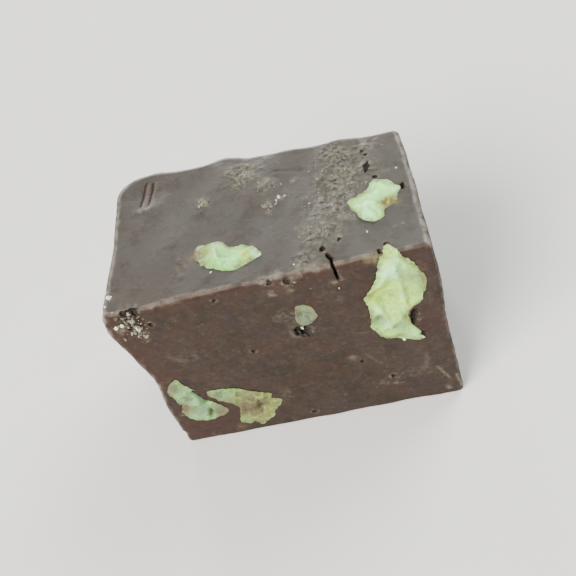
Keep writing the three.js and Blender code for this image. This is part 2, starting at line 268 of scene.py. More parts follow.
# Where the outline of a cut face is drawn out or in: face, place, reach, and how far across and up
DRAWN = (
    ("front", (12.9, 15.6), 0.8, (-0.4, 0.0)),
    ("front", (-12.3, 10.8), 0.8, (-0.5, 0.0)),
    ("front", (-14.0, 8.5), 0.8, (-0.4, 0.0)),
    ("front", (-3.9, 5.8), 0.45, (-0.45, -0.15)),
    ("front", (-4.1, 6.7), 0.4, (0.25, 0.15)),
    ("front", (-7.2, 1.5), 0.5, (0.1, 0.6)),
    ("front", (-10.4, 8.6), 0.7, (-0.35, 0.0)),
    ("front", (15.3, 19.2), 0.25, (-0.3, 0.0)),
    ("front", (14.8, 18.0), 0.25, (-0.3, 0.1)),
    ("front", (11.2, 11.7), 0.55, (0.0, 0.55)),
    ("front", (-13.9, 7.4), 0.5, (0.45, 0.15)),
    ("top", (10.7, 0.6), 0.9, (0.35, -0.35)),
    ("top", (14.3, -0.5), 0.5, (0.35, 0.1)),
    ("top", (13.3, -2.4), 0.6, (0.4, -0.3)),
    ("top", (12.7, -3.5), 0.5, (-0.2, 0.2)),
    ("top", (-6.8, -2.9), 0.9, (-0.35, 0.25)),
)
# Hollows and swellings of the cut faces: face, place across and up, reach and height
DIPS = (
    ("front", (11.2, 18.3), 1.4, -0.34),
    ("front", (9.7, 15.3), 0.75, -0.42),
    ("front", (14.2, 19.9), 1.1, -0.34),
    ("front", (12.3, 13.6), 0.6, -0.2),
    ("front", (-5.95, 4.1), 0.7, -0.35),
    ("front", (-12.9, 6.6), 0.8, 0.15),
    ("front", (-8.2, 8.0), 0.6, -0.22),
    ("front", (-5.0, 6.5), 0.6, 0.1),
    ("top", (12.9, -2.0), 0.6, -0.4),
    ("top", (11.3, -0.8), 1.1, 0.16),
    ("top", (-6.4, -4.0), 0.9, -0.2),
    ("top", (-1.9, -6.0), 0.5, -0.28),
)
# Folds of the cut faces: face, start, end, half width and height
FOLDS = (
    ("front", (12.4, 22.9), (12.5, 19.5), 0.34, 0.3),
    ("front", (12.5, 19.5), (12.6, 16.9), 0.28, 0.34),
    ("front", (12.4, 22.9), (10.2, 20.6), 0.34, 0.2),
    ("front", (10.1, 17.0), (10.7, 13.9), 0.25, 0.34),
    ("front", (-11.25, 6.2), (-11.5, 4.2), 0.17, -0.45),
    ("front", (-5.3, 6.2), (-4.1, 4.6), 0.18, 0.22),
    ("front", (-7.6, 7.6), (-8.0, 5.8), 0.16, -0.2),
    ("top", (-2.3, -6.4), (-1.5, -4.9), 0.15, -0.28),
    ("top", (-4.9, -3.9), (-4.2, -6.0), 0.22, 0.2),
    ("top", (10.7, -0.8), (12.6, -2.0), 0.22, -0.26),
    ("top", (12.4, 0.2), (13.9, -0.6), 0.25, 0.24),
    ("top", (10.2, -2.2), (11.5, -3.6), 0.25, 0.24),
)
# Chocolate smeared over the cut faces: face, start, end and half width
SMEARS = (
    ("front", (-12.0, 9.4), (-11.0, 7.7), 0.35),
    ("front", (3.9, 19.7), (4.1, 18.9), 0.25),
    ("top", (13.5, -3.2), (14.6, -3.4), 0.62),
)
# Colours on the cut faces, among them painted highlights in the milky stains and painted shade in the grey
# ones: face, place across and up, reach, and strength of each of STAIN_NAMES there
STAIN_NAMES = ("yellow", "skin", "smeared", "milky_and_highlight", "grey_and_shade")
STAINS = (
    ("front", (11.8, 18.5), 8.0, (0.8, 0, 0, 0, 0)),
    ("front", (11.2, 18.0), 1.2, (1.0, 0.6, 0, 0, 0)),
    ("front", (12.2, 24.8), 1.5, (1.0, 0, 0, 0, 0)),
    ("front", (12.0, 25.0), 1.1, (1.4, 0.25, 0, 0, 0)),
    ("front", (12.5, 23.7), 0.7, (0, 0, 0, 1.0, 0)),
    ("front", (9.2, 19.3), 0.7, (0.5, 0.4, 0.2, 0, 0)),
    ("front", (11.9, 22.2), 1.5, (0, 0, 0, 1.2, 0)),
    ("front", (12.45, 18.2), 0.6, (0, 0, 0, 0.9, 0)),
    ("front", (9.7, 16.8), 0.7, (0, 0, 0, 1.0, 0)),
    ("front", (10.4, 14.8), 0.6, (0, 0, 0, 1.1, 0)),
    ("front", (12.6, 11.9), 0.35, (0, 0, 0, 1.0, 0)),
    ("front", (11.8, 14.2), 1.7, (0, 0, 0.1, 0, 0.6)),
    ("front", (9.5, 15.3), 1.1, (0, 0, 0.1, 0, 0.9)),
    ("front", (14.3, 20.2), 2.2, (0, 0, 0, 0, 0.7)),
    ("front", (13.6, 18.2), 1.3, (0.1, 0, 0, 0, 0.4)),
    ("front", (2.6, 18.4), 2.6, (0, 0, 0.4, 0, 1.3)),
    ("front", (1.8, 19.3), 1.1, (0, 0.2, 0.9, 0, 1.6)),
    ("front", (2.6, 19.9), 0.9, (0, 0.1, 0.6, 0, 1.2)),
    ("front", (-12.4, 7.6), 4.5, (0.1, 0, 0, 0, 0.9)),
    ("front", (-14.2, 11.0), 1.2, (0, 0.2, 0.7, 0, 1.3)),
    ("front", (-12.5, 9.9), 0.6, (0, 0, 0, 0.6, 0)),
    ("front", (-13.1, 8.7), 0.7, (0, 0, 0.4, 0, 1.3)),
    ("front", (-13.9, 7.1), 0.9, (0.4, 1.6, 1.2, 0, 1.0)),
    ("front", (-14.6, 10.0), 0.4, (0.2, 0.6, 0.2, 0, 0)),
    ("front", (-11.35, 5.3), 0.45, (0, 0, 1.5, 0, 0.8)),
    ("front", (-10.2, 5.2), 1.2, (0, 0, 0.8, 0, 1.4)),
    ("front", (-6.6, 5.0), 3.2, (1.3, 0.8, 1.2, 0, 0)),
    ("front", (-8.1, 4.5), 1.5, (0.9, 1.0, 1.2, 0, 0.6)),
    ("front", (-6.3, 3.2), 1.5, (1.4, 1.2, 0.8, 0, 0)),
    ("front", (-6.05, 4.7), 0.8, (1.5, 2.4, 0.6, 0, 0)),
    ("front", (-5.9, 6.8), 0.8, (0.9, 1.3, 0.9, 0, 0)),
    ("front", (-7.3, 7.3), 0.9, (0.3, 0.6, 0.5, 0, 0.9)),
    ("front", (-4.9, 5.3), 0.8, (1.5, 0.3, 0.1, 0, 0)),
    ("front", (-4.3, 4.2), 1.3, (1.5, 0.8, 0.4, 0, 0)),
    ("front", (-3.3, 5.1), 0.6, (0.7, 0.3, 0.4, 0, 0)),
    ("front", (-6.5, 1.7), 1.2, (1.2, 1.1, 0.5, 0, 0)),
    ("front", (-4.4, 6.6), 1.2, (1.4, 0.8, 0.4, 0, 0)),
    ("front", (-9.8, 8.3), 1.3, (0, 0, 0.4, 0, 1.0)),
    ("front", (-9.0, 7.4), 0.6, (0, 0, 0, 0.7, 0)),
    ("front", (-8.1, 2.8), 0.8, (0.4, 0, 0.1, 0, 0.4)),
    ("top", (-7.2, -4.2), 1.7, (0.8, 1.2, 0.8, 0, 0.8)),
    ("top", (-5.8, -3.6), 0.8, (0.8, 0.1, 0.1, 0, 0)),
    ("top", (-1.8, -4.9), 0.7, (1.0, 0.6, 0, 0, 0)),
    ("top", (-1.6, -6.3), 0.7, (0.9, 1.3, 0.3, 0, 0)),
    ("top", (-0.3, -5.9), 0.7, (0, 0, 0, 1.2, 0)),
    ("top", (12.9, -2.2), 0.9, (1.0, 1.9, 0.2, 0, 0)),
    ("top", (13.5, -2.3), 0.7, (0.6, 1.6, 0.6, 0, 0)),
    ("top", (9.1, -1.5), 0.9, (0.6, 0.4, 0.1, 0.3, 0)),
    ("top", (13.9, -0.7), 0.6, (0, 0, 0, 1.0, 0)),
    ("top", (11.7, 0.7), 0.8, (0, 0, 0, 0.6, 0)),
    ("top", (10.8, -3.3), 1.2, (0, 0, 0, 1.0, 0)),
    ("top", (11.4, -1.2), 2.5, (0.2, 0, 0, 0.45, 0)),
)
# Random patches of each of STAIN_NAMES: strength, width, lead, and the noise where they start and are full
RANDOM_STAINS = (
    (0.9, 3.0, 51.0, 0.0, 0.5),
    (0.8, 2.2, 53.0, 0.28, 0.5),
    (0.5, 2.8, 57.0, 0.15, 0.6),
    (1.0, 2.0, 59.0, -0.3, 0.3),
    (0.8, 3.5, 63.0, 0.1, 0.5),
)
RANDOM_ON_FRONT_AND_TOP = 0.25  # share of those patches on the faces that have stains of their own


def add_attribute(mesh, name, values):
    """Stores one number for each vertex, for a material to read."""
    layer = mesh.attributes.new(name, "FLOAT", "POINT")
    layer.data.foreach_set("value", np.asarray(values, np.float32))


def smoothstep(values, start, end):
    share = np.clip((values - start) / (end - start), 0, 1)
    return share * share * (3 - 2 * share)


def field(points, size, stretch=(1, 1, 1), lead=0.0):
    """Smooth random heights from -1 to 1.

    size is the width of a bump in mm, and stretch makes it longer. lead is any number, and moves the pattern
    on, so that each use has its own.
    """
    scaled = points / (size * np.array(stretch)) + lead
    return np.array([noise.noise(row) for row in scaled.tolist()])


def lumpy(points, layers):
    """The sum of layers of lumps, each given by its height, width and lead."""
    return sum(height * field(points, size, lead=lead) for height, size, lead in layers)


def surface_of(mesh):
    """The surface of a mesh, to find the nearest place on it or to drop things on to it."""
    return BVHTree.FromPolygons([v.co for v in mesh.vertices], [tuple(p.vertices) for p in mesh.polygons])


def face_matrix(name, at):
    """From a face's own across, up and out, in metres, to the block's place."""
    across, up, out, origin = (Vector(axis) for axis in FACES[name])
    turned = Matrix((across, up, out)).transposed().to_4x4()
    place = origin + across * at[0] + up * at[1] + Vector(CENTRING)
    return Matrix.Translation(place * MM) @ turned


def off_line(points, name, start, end):
    """How far points of the block lie from a line on a face, in mm, and 1 on that face and 0 off it."""
    across, up = (np.array(axis, float) for axis in FACES[name][:2])
    settled = points - CENTRING
    away = np.stack([settled @ across - start[0], settled @ up - start[1]], axis=1)
    run = np.subtract(end, start)
    share = np.clip(away @ run / max(run @ run, 1e-9), 0, 1)
    on_this_face = 1 - smoothstep(depth_under(name, settled), *FACE_ENDS)
    return np.hypot(*(away - share[:, None] * run).T), on_this_face


def near_line(points, name, start, end, reach):
    """1 along a line on a face, or at a spot where it starts and ends, falling softly to 0 round it."""
    away, on_this_face = off_line(points, name, start, end)
    return on_this_face * np.exp(-((away / reach) ** 2))


def swollen(node_name):
    """A kernel of the frame, a little larger, with its cut faces pushed out of the block."""
    kernel = bmesh.new()
    kernel.from_mesh(frame["nodes"][node_name].data)
    bmesh.ops.remove_doubles(kernel, verts=kernel.verts, dist=MERGED * MM)
    kernel.normal_update()
    showing = set()
    for facet in kernel.faces:
        _, way_out, _, distance = block_surface.find_nearest(facet.calc_center_median())
        if distance < ON_FACE * MM and facet.normal.dot(way_out) > SAME_WAY:
            showing.add(facet)
    pushed = {}
    for vertex in kernel.verts:
        cut = [f.normal for f in vertex.link_faces if f in showing]
        walls = [f.normal for f in vertex.link_faces if f not in showing]
        push = sum(cut, Vector()).normalized() * PAST_FACE if cut else Vector()
        pushed[vertex] = push + (sum(walls, Vector()).normalized() * FILL if walls else Vector())
    for vertex, push in pushed.items():
        vertex.co += push * MM
    mesh = bpy.data.meshes.new(node_name)
    kernel.to_mesh(mesh)
    kernel.free()
    return mesh


def drawn(points):
    """Points of the kernels, moved to where their outlines are drawn out or in."""
    moved = points.copy()
    for name, at, reach, pull in DRAWN:
        across, up = (np.array(axis, float) for axis in FACES[name][:2])
        moved += np.outer(near_line(points, name, at, at, reach), across * pull[0] + up * pull[1])
    return moved


def facets_at(points):
    """Height of the broad facets, and 1 along the folds between them, falling to 0 beside the folds."""
    wander = np.stack([field(points, 1.8, lead=lead) for lead in FACET_LEADS], axis=1)
    warped = points / FACET + FACET_WARP * wander
    heights = np.empty(len(points))
    folds = np.empty(len(points))
    for i, row in enumerate(warped.tolist()):
        distances, centres = noise.voronoi(row)
        gap = distances[1] - distances[0]
        # Each facet's centre draws its tilt, and the factor only has to be uneven
        tilted = [noise.noise_vector(c * 7.3).dot(Vector(row) - c) for c in centres[:2]]
        nearer = 0.5 + 0.5 * min(1, gap / FACET_BLEND)
        heights[i] = nearer * tilted[0] + (1 - nearer) * tilted[1]
        folds[i] = math.exp(-((gap / CREASE_WIDTH) ** 2))
    return heights, folds


def smeared_at(points):
    """1 where chocolate is smeared over the kernels, and 0 where it isn't."""
    smeared = np.zeros(len(points))
    uneven = SMEAR_WOBBLE * field(points, 0.6, lead=49.0)
    for name, start, end, half_width in SMEARS:
        away, on_this_face = off_line(points, name, start, end)
        smear = smoothstep(half_width + uneven - away, *SMEAR_EDGE)
        smeared = np.maximum(smeared, on_this_face * smear)
    return smeared


def stains_at(points, share):
    """Strength of each of STAIN_NAMES at each point: a share of the random ones, and those listed."""
    patches = [
        strength * smoothstep(field(points, size, lead=lead), start, full)
        for strength, size, lead, start, full in RANDOM_STAINS
    ]
    amounts = np.stack(patches, axis=1) * share
    for name, at, reach, strengths in STAINS:
        middle = np.array(face_matrix(name, at).translation) / MM
        near = np.exp(-((np.linalg.norm(points - middle, axis=1) / reach) ** 2))
        amounts = np.maximum(amounts, np.outer(near, strengths))
    return amounts


def to_edge(points):
    """How far points on the block's faces lie from its nearest edge."""
    depths = [depth_under(name, points - CENTRING) for name in FACES]
    return np.sort(depths, axis=0)[1]


def relief_at(points, to_rim):
    """How far a kernel's cut face stands out from the block's face, in mm, and how creased it is."""
    heights, folds = facets_at(points)
    creases = folds * smoothstep(field(points, 4.0, lead=59.0), *CREASED)
    relief = SLOPE * FACET * heights - CREASE_DEPTH * creases
    relief += lumpy(points, CUT_FACE_LUMPS)
    for name, at, reach, rise in DIPS:
        relief += rise * near_line(points, name, at, at, reach)
    for name, start, end, half_width, rise in FOLDS:
        relief += rise * near_line(points, name, start, end, half_width)
    relief *= smoothstep(to_rim, *BY_RIM) * smoothstep(to_edge(points), *BY_EDGE)
    return PROUD + np.maximum(relief, -STEEPEST * to_rim) - SMEAR_DEPTH * smeared_at(points), creases


def new_piece(name, mesh):
    piece = bpy.data.objects.new(name, mesh)
    bpy.context.scene.collection.objects.link(piece)
    return piece


def soften(piece, times):
    """Adds a modifier that evens out a piece's bumps."""
    modifier = piece.modifiers.new("soften", "SMOOTH")
    modifier.factor = 0.5
    modifier.iterations = times


def apply_modifiers(piece):
    """Makes what a piece's modifiers give its own mesh."""
    bpy.context.view_layer.update()
    evaluated = piece.evaluated_get(bpy.context.evaluated_depsgraph_get())
    piece.data = bpy.data.meshes.new_from_object(evaluated)
    piece.modifiers.clear()


def linear(hex_colour):
    """An sRGB hex colour as the linear red, green, blue and alpha that a shader takes."""
    parts = [int(hex_colour[i : i + 2], 16) / 255 for i in (1, 3, 5)]
    return (*(p / 12.92 if p <= 0.04045 else ((p + 0.055) / 1.055) ** 2.4 for p in parts), 1)


def add_node(tree, kind, inputs, output=0, **settings):
    """Adds a shader node and gives one of its outputs. Each input is a value or the output that feeds it."""
    node = tree.nodes.new("ShaderNode" + kind)
    for setting, value in settings.items():
        setattr(node, setting, value)
    for socket, value in inputs.items():
        if isinstance(value, bpy.types.NodeSocket):
            tree.links.new(value, node.inputs[socket])
        else:
            node.inputs[socket].default_value = value
    return node.outputs[output] if len(node.outputs) else None


def new_material(name):
    material = bpy.data.materials.new(name)
    material.use_nodes = True
    material.node_tree.nodes.clear()
    return material, material.node_tree


def mottles(tree, size, low=0.0, high=1.0, strength=1.0, follows=None, stretch=(1, 1, 1)):
    """A pattern of mottles of size mm: 0 where its noise is under low, and strength where it is over high.

    follows names an attribute of the piece that multiplies it, and stretch draws the mottles out.
    """
    place = add_node(tree, "TexCoord", {}, output="Object")
    scale = [1 / (size * MM * s) for s in stretch]
    place = add_node(tree, "Mapping", {"Vector": place, "Scale": scale})
    bumps = add_node(tree, "TexNoise", {"Vector": place, "Scale": 1, "Detail": 4, "Roughness": 0.6})
    limits = {"Value": bumps, "From Min": low, "From Max": high, "To Max": strength}
    share = add_node(tree, "MapRange", limits)
    if follows:
        followed = add_node(tree, "Attribute", {}, output="Fac", attribute_name=follows)
        share = add_node(tree, "Math", {0: share, 1: followed}, operation="MULTIPLY")
    return share


MIX_UNDER, MIX_OVER, MIXED = 6, 7, 2  # the Mix node's two inputs and its output for colours


def coloured(tree, base, layers):
    """A base colour with layers over it: the colour of each, and the mottles that it shows through."""
    colour = linear(base)
    for tint, *pattern in layers:
        layer = {"Factor": mottles(tree, *pattern), MIX_UNDER: colour, MIX_OVER: linear(tint)}
        colour = add_node(tree, "Mix", layer, output=MIXED, data_type="RGBA")
    return colour


# Walnut flesh, cut and broken: waxy, faintly see-through, pale green-cream, with yellow and milky parts, and
# painted highlights on raised parts and tips.
# Scraps of thin skin are ochre brown, and hollows and rims hold a film of chocolate. Hollows, creases and
# facets turned from the light take painted shade.
walnut, tree = new_material("walnut_kernel_cut")
WALNUT_LAYERS = (
    ("#86c872", 1.6, 0.4, 0.65),
    ("#7fb668", 0.4, 0.5, 0.7, 0.6),
    # Painted shade in the hollows of the cut faces
    ("#6d9a5c", 1.0, 0.2, 0.6, 0.7, "low"),
    # Painted highlight on the raised parts of the cut faces
    ("#b4ffa0", 0.8, 0.2, 0.5, 0.7, "high"),
    ("#caf040", 1.1, 0.0, 0.5, 1.0, "yellow"),
    # Milky flesh, with painted highlights at some tips and ridges
    ("#bcffb4", 0.8, 0.2, 0.5, 0.9, "milky_and_highlight"),
    # Grey translucent flesh, and painted shade in hollows and on facets turned from the light
    ("#687f62", 1.3, 0.1, 0.5, 1.0, "grey_and_shade"),
    # Painted shade along the creases
    ("#8e8f50", 0.5, 0.2, 0.6, 0.25, "crease_shade"),
    ("#7d7436", 0.5, 0.3, 0.6, 1.0, "skin"),
    ("#5b5235", 0.9, 0.1, 0.5, 1.0, "smeared"),
    ("#6e683e", 1.1, 0.35, 0.6, 0.85, "rim"),
)
fibres = mottles(tree, 0.5, 0.3, 0.7)
surface = {
    "Base Color": coloured(tree, "#9efb7a", WALNUT_LAYERS),
    "Roughness": 0.38,
    "IOR": 1.47,
    "Subsurface Weight": 0.15,
    "Subsurface Radius": (0.8, 0.8, 0.4),
    "Subsurface Scale": 0.6 * MM,
    "Normal": add_node(tree, "Bump", {"Height": fibres, "Distance": 0.1 * MM}),
}
add_node(tree, "OutputMaterial", {"Surface": add_node(tree, "BsdfPrincipled", surface)})

block_surface = surface_of(block_mesh)
noise.seed_set(FACET_SEED)
kernel_walls = []
for node_name in KERNEL_NAMES:
    piece = new_piece(node_name.replace("walnut", "kernel"), swollen(node_name))
    remesh = piece.modifiers.new("remesh", "REMESH")
    remesh.mode = "VOXEL"
    remesh.voxel_size = VOXEL * MM
    soften(piece, 8)
    apply_modifiers(piece)

    # The walls are roughened, and then what stands out of the block is cut back to the cut face's relief
    points = coordinates(piece.data) / MM
    uneven = lumpy(points, WALL_LUMPS)
    points = drawn(points + coordinates(piece.data, "normal") * uneven[:, None])
    rows = (points * MM).tolist()
    walls = BVHTree.FromPolygons(rows, [tuple(p.vertices) for p in piece.data.polygons])
    kernel_walls.append(walls)
    under = [block_surface.find_nearest(row)[:2] for row in rows]
    to_rim = np.array([walls.find_nearest(place)[3] for place, _ in under]) / MM
    places = np.array([place for place, _ in under]) / MM
    ways_out = np.array([way_out for _, way_out in under])
    relief, creases = relief_at(places, to_rim)
    above = ((points - places) * ways_out).sum(axis=1)
    points += ways_out * np.minimum(relief - above, 0)[:, None]
    points[:, 2] = np.maximum(points[:, 2], 0)
    set_coordinates(piece.data, points * MM)
    add_attribute(piece.data, "rim", np.exp(-((to_rim / RIM) ** 2)))
    # How creased each place is, which also carries a painted shade
    add_attribute(piece.data, "crease_shade", creases)
    # low is painted shade in the hollows, and high a painted highlight on the raised parts
    add_attribute(piece.data, "low", smoothstep(-relief, *PAINTED_SHADE_DEPTHS))
    add_attribute(piece.data, "high", smoothstep(relief, *PAINTED_HIGHLIGHT_HEIGHTS))
    share = RANDOM_ON_FRONT_AND_TOP if "front" in node_name or "top" in node_name else 1
    for name, values in zip(STAIN_NAMES, stains_at(places, share).T):
        add_attribute(piece.data, name, values)
    soften(piece, 2)
    apply_modifiers(piece)
    piece.data.shade_smooth()
    piece.data.materials.append(walnut)
    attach(piece, "root")
    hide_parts(node_name)

# The cut surface of the chocolate
# Firm milk chocolate candy. The knife drags faint lines along the faces, turns up a thin burr along the
# edges, and crumbles the chocolate where it catches a kernel. Scraps are pressed flat into the faces.
CUT_LUMPS = ((0.012, 0.5, 0.0), (0.03, 2.4, 3.0), (0.035, 5.5, 4.0))  # height, width and lead
DRAG = 0.01  # height of the knife's lines
DRAG_WIDTH = 0.5
BURR = 0.1  # height of the burr along an edge
NICK = 0.14  # depth of the nicks in the edges
CRUMBLE = 0.2  # height of the broken grains where the knife crumbled the surface
PIT_RIM = 0.08  # and of the rim of a pit
PIT_RIM_WIDTH = 0.16
PALE_SCRAP = 0.1  # a scrap this high is as pale as one can be
SUNK = 0.75  # how far the chocolate lies under a kernel's cut face
LIP = (0.12, 0.36)  # this far inside a kernel's outline it starts to sink, and has sunk all the way
CALM = 0.35  # width of the smooth chocolate round a kernel
# Pale strips painted along the edges, the first a pale burr with a painted highlight on it, the rest painted
# highlights where the edges catch the light: the two faces, how pale, from 0 to 1, and how wide
TAN_AND_HIGHLIGHT_EDGES = (("top", "front", 1.0, 0.08), ("front", "right", 0.8, 0.2))
HIGHLIGHT_EDGES = (
    ("top", "right", 1.0, 0.1),
    ("top", "left", 0.8, 0.13),
    ("top", "back", 0.3, 0.13),
    ("front", "left", 1.0, 0.3),
    ("back", "left", 0.5, 0.2),
    ("back", "right", 0.5, 0.13),
)
# Lines left by the knife's tip: face, start, end, half width, height, and how pale
STREAKS = (
    ("top", (-12.4, 8.3), (-12.8, 4.2), 0.2, 0.1, 0.35),
    ("top", (-11.5, 8.3), (-12.0, 4.4), 0.16, 0.06, 0.3),
    ("front", (7.2, 23.8), (7.15, 22.5), 0.13, 0.05, 0.7),
    ("top", (4.6, 5.4), (1.8, 5.9), 0.1, -0.1, 0.0),
    ("front", (7.2, 10.2), (8.5, 8.1), 0.14, 0.04, 0.3),
    ("front", (14.2, 5.5), (15.2, 3.2), 0.14, 0.06, 0.7),
    ("front", (16.0, 3.6), (16.3, 1.3), 0.14, 0.06, 0.9),
    ("front", (9.2, 4.0), (10.3, 3.8), 0.12, 0.04, 0.4),
    ("front", (13.4, 8.4), (13.0, 5.8), 0.2, 0.04, 0.35),
    ("front", (6.7, 14.0), (11.5, 13.2), 0.12, 0.03, 0.25),
)
# Where the knife crumbled the top: middle across and up, and reach
CRUMBLED = (
    ((8.0, -0.8), 2.6),
    ((8.8, 3.2), 2.4),
    ((8.4, 6.6), 2.0),
    ((6.0, -4.2), 1.8),
    ((-1.6, 6.4), 1.7),
    ((0.8, 4.0), 0.9),
    ((11.0, 7.8), 1.6),
    ((4.4, -7.9), 1.2),
    ((-6.1, 3.2), 0.6),
)
# Places where the chocolate is redder: face, place across and up, reach and strength
REDDER = (
    ("front", (-16.4, 22.0), 2.8, 1.0),
    ("front", (-15.5, 17.5), 2.8, 0.9),
    ("front", (-14.6, 13.0), 2.2, 0.7),
    ("front", (-13.0, 2.6), 3.8, 0.9),
    ("front", (-8.6, 3.0), 1.6, 0.7),
    ("front", (14.5, 22.8), 2.0, 0.6),
    ("front", (15.0, 14.0), 2.5, 0.5),
    ("top", (-12.0, -6.0), 3.5, 0.5),
)
RED_UNDER_EDGE = (0.8, 1.3)  # strength and reach of the redness along the front's upper edge
# Places where a scrap of nut skin is smeared over the chocolate, in the same way
GOLDEN = (
    ("front", (11.0, 24.2), 0.6, 1.0),
    ("front", (10.2, 24.3), 0.5, 0.6),
    ("top", (11.2, -9.0), 0.5, 0.9),
    ("top", (-7.2, -4.1), 0.5, 0.5),
    ("top", (13.9, -2.5), 0.4, 0.6),
    ("front", (-9.0, 1.4), 0.5, 0.4),
    ("back", (9.6, 6.8), 0.5, 0.7),
    ("left", (-3.8, 5.5), 0.5, 0.7),
)
BLOOM = 0.1  # how thick the bloom is on every face
BLOOM_AND_SHEEN_ON_TOP = 0.39  # how much more on the top: thicker bloom, and a painted sheen
PAINTED_SHEEN_PER_MM = (0.001875, -0.005)  # and how much more painted sheen with each mm to the right and to the back
# Scraps pressed into a face, or dents where the height is below 0: face, place, reach and height
SCRAPS = (
    ("top", (-13.1, 4.0), 0.26, 0.16),
    ("top", (-12.3, 4.2), 0.26, 0.16),
    ("top", (2.0, 1.6), 0.3, 0.12),
    ("top", (0.8, 1.2), 0.3, 0.14),
    ("top", (0.9, 0.0), 0.28, 0.12),
    ("top", (-1.0, 6.0), 0.5, 0.09),
    ("top", (-3.2, 7.1), 0.4, 0.08),
    ("top", (13.9, -5.4), 0.2, 0.09),
    ("top", (13.0, -5.7), 0.16, 0.07),
    ("top", (7.7, -5.6), 0.3, 0.1),
    ("front", (-0.2, 24.3), 0.25, 0.12),
    ("front", (1.3, 24.6), 0.3, 0.16),
    ("front", (2.9, 24.1), 0.25, 0.14),
    ("front", (3.6, 24.6), 0.3, 0.12),
    ("front", (5.1, 24.6), 0.3, 0.12),
    ("front", (0.3, 22.6), 0.34, 0.1),
    ("front", (2.2, 22.6), 0.28, 0.08),
    ("front", (6.6, 22.3), 0.24, 0.1),
    ("front", (7.3, 22.6), 0.2, 0.08),
    ("front", (6.4, 19.7), 0.24, 0.08),
    ("front", (5.8, 10.0), 0.3, 0.08),
    ("front", (8.5, 4.2), 0.25, 0.07),
    ("front", (9.4, 4.0), 0.25, 0.06),
    ("front", (14.9, 1.4), 0.3, 0.08),
    ("front", (-15.4, 21.9), 0.35, 0.1),
    ("front", (-13.5, 20.9), 0.35, 0.08),
    ("front", (-13.5, 19.9), 0.3, 0.06),
    ("front", (-14.0, 23.1), 1.5, -0.3),
)
RANDOM_SCRAPS = {"top": 4, "front": 3, "back": 14, "left": 9, "right": 9, "base": 12}
RANDOM_REACH = (0.15, 0.35)  # the least and the most reach of a random scrap, and then its height
RANDOM_HEIGHT = (0.04, 0.09)
SCRAP_SEED = 5

# Pits where air bubbles and scraps of nut came out under the knife: face, place across and up, and half sizes
# across, up and into the face
PITS = (
    ("front", (1.75, 16.1), (0.95, 1.2, 0.9)),
    ("front", (12.9, 14.6), (0.34, 1.1, 0.7)),
    ("front", (13.5, 11.9), (0.3, 0.4, 0.5)),
    ("front", (11.2, 12.1), (0.26, 0.26, 0.5)),
    ("front", (-14.2, 24.2), (0.5, 0.6, 0.3)),
    ("front", (-13.3, 24.1), (0.45, 0.5, 0.28)),
    ("front", (-14.9, 23.6), (0.4, 0.4, 0.25)),
    ("front", (-14.3, 23.2), (0.4, 0.3, 0.2)),
    ("front", (-13.2, 23.1), (0.25, 0.4, 0.2)),
    ("front", (-12.3, 22.0), (0.2, 0.35, 0.25)),
    ("front", (-14.4, 21.9), (0.3, 0.22, 0.2)),
    ("front", (0.5, 24.3), (0.3, 0.34, 0.12)),
    ("front", (2.1, 23.7), (0.26, 0.5, 0.16)),
    ("front", (-3.85, 14.5), (0.2, 0.28, 0.25)),
    ("front", (-5.3, 23.3), (0.2, 0.24, 0.2)),
    ("front", (6.55, 9.2), (0.2, 0.34, 0.3)),
    ("front", (9.3, 5.3), (0.24, 0.36, 0.3)),
    ("front", (-0.35, 1.6), (0.3, 0.3, 0.3)),
    ("top", (6.0, -6.8), (0.3, 0.36, 0.45)),
    ("top", (7.7, -6.0), (0.16, 0.25, 0.2)),
    ("top", (11.3, 3.6), (0.26, 0.75, 0.5)),
    ("top", (12.05, 1.85), (0.26, 0.2, 0.35)),
    ("top", (14.5, -0.35), (0.28, 0.5, 0.45)),
    ("top", (11.3, -8.6), (0.2, 0.32, 0.3)),
    ("top", (12.1, -7.75), (0.26, 0.2, 0.25)),
    ("top", (11.1, 6.3), (0.18, 0.2, 0.2)),
    ("top", (11.4, 5.6), (0.16, 0.18, 0.2)),
    ("back", (-8.6, 11.6), (1.2, 0.8, 0.9)),
    ("back", (12.6, 18.4), (0.5, 0.8, 0.7)),
    ("back", (2.1, 20.6), (0.4, 0.3, 0.4)),
    ("back", (-1.4, 5.2), (0.3, 0.35, 0.4)),
    ("left", (-5.5, 12.6), (0.45, 1.2, 0.7)),
    ("left", (4.2, 19.4), (0.35, 0.3, 0.4)),
    ("left", (-1.2, 2.4), (0.3, 0.25, 0.3)),
    ("right", (5.8, 20.6), (0.8, 0.5, 0.7)),
    ("right", (-6.6, 5.2), (0.3, 0.35, 0.4)),
    ("base", (-3.0, 2.6), (0.6, 0.45, 0.5)),
    ("base", (9.5, 5.4), (0.35, 0.3, 0.35)),
)

# How deep each vertex lay under the plane of each face, before the block was made uneven
under_face = {name: depth_under(name, flat) for name in FACES}
on_face = {name: 1 - smoothstep(depth, 0.0, 0.3) for name, depth in under_face.items()}
on_ends = np.maximum(on_face["left"], on_face["right"])  # where the knife's lines run the other way


def edge_strip(edges, widening):
    """How pale the chocolate is painted along its edges, as a pale burr or a painted highlight: a strip along
    each, as strong and wide as its row says.
    """
    strip = np.zeros(len(flat))
    for first, second, strength, width in edges:
        away = np.maximum(0.4 * under_face[first], under_face[second])
        strip = np.maximum(strip, strength * np.exp(-((away / (width * widening)) ** 2)))
    return strip


crumbled = np.zeros(len(form))
for middle, reach in CRUMBLED:
    away, _ = off_line(form, "top", middle, middle)
    crumbled = np.maximum(crumbled, on_face["top"] * np.exp(-((away / reach) ** 2)))
crumbled = np.clip(crumbled * (1.1 + 1.4 * field(form, 1.3, lead=5.0)), 0, 1)
crumbled = np.maximum(crumbled, 0.2 * smoothstep(field(form, 3.4, lead=7.0), 0.3, 0.6))

